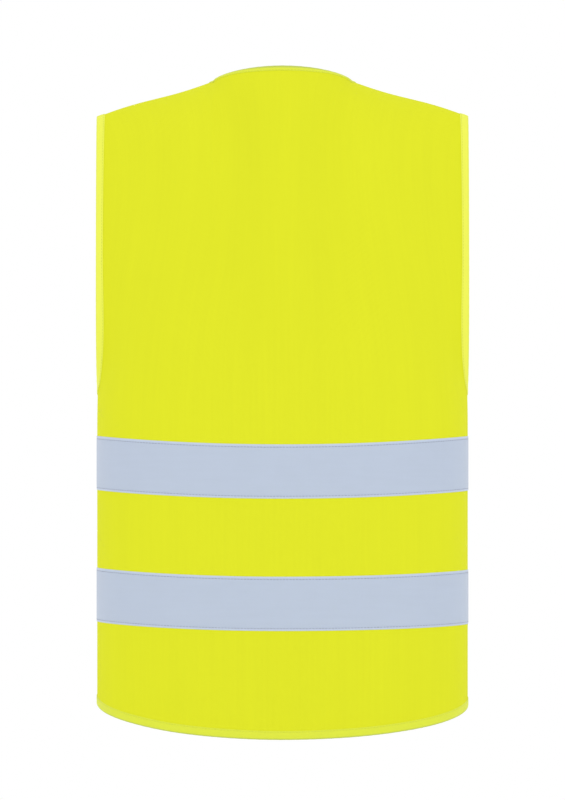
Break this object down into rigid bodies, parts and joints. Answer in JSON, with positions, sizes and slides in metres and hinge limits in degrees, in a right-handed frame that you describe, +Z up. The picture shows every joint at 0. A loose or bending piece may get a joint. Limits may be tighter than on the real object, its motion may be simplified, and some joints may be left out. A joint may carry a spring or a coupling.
{
  "type": "high visibility vest",
  "caption": "Sleeveless fluorescent yellow vest with reflective bands round the body, bound edges, and fronts that open and close with hook-and-loop tabs.",
  "frame": {"origin": "midway between the two points where the shoulder seams meet the neck, where the vest hangs on its wearer", "axes": "+Z up, the wearer faces -Y, so +Y is out of the back, and +X is the wearer's left"},
  "size_m": [0.3492, 0.2222, 0.6248],
  "materials": {
    "fluorescent_cloth": "matt knitted polyester, fluorescent yellow",
    "binding_tape": "pale yellow woven bias tape with a slight sheen",
    "reflective_tape": "silver grey retroreflective tape",
    "hook_and_loop": "yellow hook-and-loop fastener",
    "label_satin": "blank white satin label"
  },
  "bodies": {
    "vest": {"back_panel": "fluorescent_cloth", "left_front_side": "fluorescent_cloth", "right_front_side": "fluorescent_cloth", "back_upper_band": "reflective_tape", "back_lower_band": "reflective_tape", "left_side_upper_band": "reflective_tape", "left_side_lower_band": "reflective_tape", "right_side_upper_band": "reflective_tape", "right_side_lower_band": "reflective_tape", "neck_binding": "binding_tape", "hem_binding": "binding_tape", "left_armhole_binding": "binding_tape", "right_armhole_binding": "binding_tape", "left_side_seam": "fluorescent_cloth", "right_side_seam": "fluorescent_cloth", "left_shoulder_seam": "fluorescent_cloth", "right_shoulder_seam": "fluorescent_cloth", "size_label": "label_satin"},
    "left_front": {"left_front_flap": "fluorescent_cloth", "left_flap_upper_band": "reflective_tape", "left_flap_lower_band": "reflective_tape", "left_front_edge_binding": "binding_tape", "left_flap_hem_binding": "binding_tape", "upper_loop_patch": "hook_and_loop", "lower_loop_patch": "hook_and_loop"},
    "right_front": {"right_front_flap": "fluorescent_cloth", "right_flap_upper_band": "reflective_tape", "right_flap_lower_band": "reflective_tape", "right_front_edge_binding": "binding_tape", "right_flap_hem_binding": "binding_tape", "upper_tab_base": "fluorescent_cloth", "lower_tab_base": "fluorescent_cloth"},
    "upper_tab": {"upper_tab": "fluorescent_cloth", "upper_hook_patch": "hook_and_loop"},
    "lower_tab": {"lower_tab": "fluorescent_cloth", "lower_hook_patch": "hook_and_loop"},
    "care_label": {"care_label": "label_satin"}
  },
  "joints": [
    {"name": "right_front_open", "type": "hinge", "parent": "vest", "child": "right_front", "pos_m": [-0.067, -0.1145, -0.3425], "axis": [-0.089, 0, -0.996], "range_deg": [0, 110]},
    {"name": "left_front_open", "type": "hinge", "parent": "vest", "child": "left_front", "pos_m": [0.067, -0.1145, -0.3425], "axis": [-0.089, 0, 0.996], "range_deg": [0, 110]},
    {"name": "upper_tab_peel", "type": "hinge", "parent": "right_front", "child": "upper_tab", "pos_m": [-0.004, -0.1154, -0.225], "axis": [0, 0, -1], "range_deg": [0, 150]},
    {"name": "lower_tab_peel", "type": "hinge", "parent": "right_front", "child": "lower_tab", "pos_m": [-0.004, -0.1154, -0.431], "axis": [0, 0, -1], "range_deg": [0, 150]},
    {"name": "care_label_flip", "type": "hinge", "parent": "vest", "child": "care_label", "pos_m": [0.1699, 0, -0.545], "axis": [0, 0, -1], "range_deg": [0, 100]}
  ],
  "couplings": [
    {"joint": "left_front_open", "follows": "right_front_open", "ratio": 1}
  ]
}
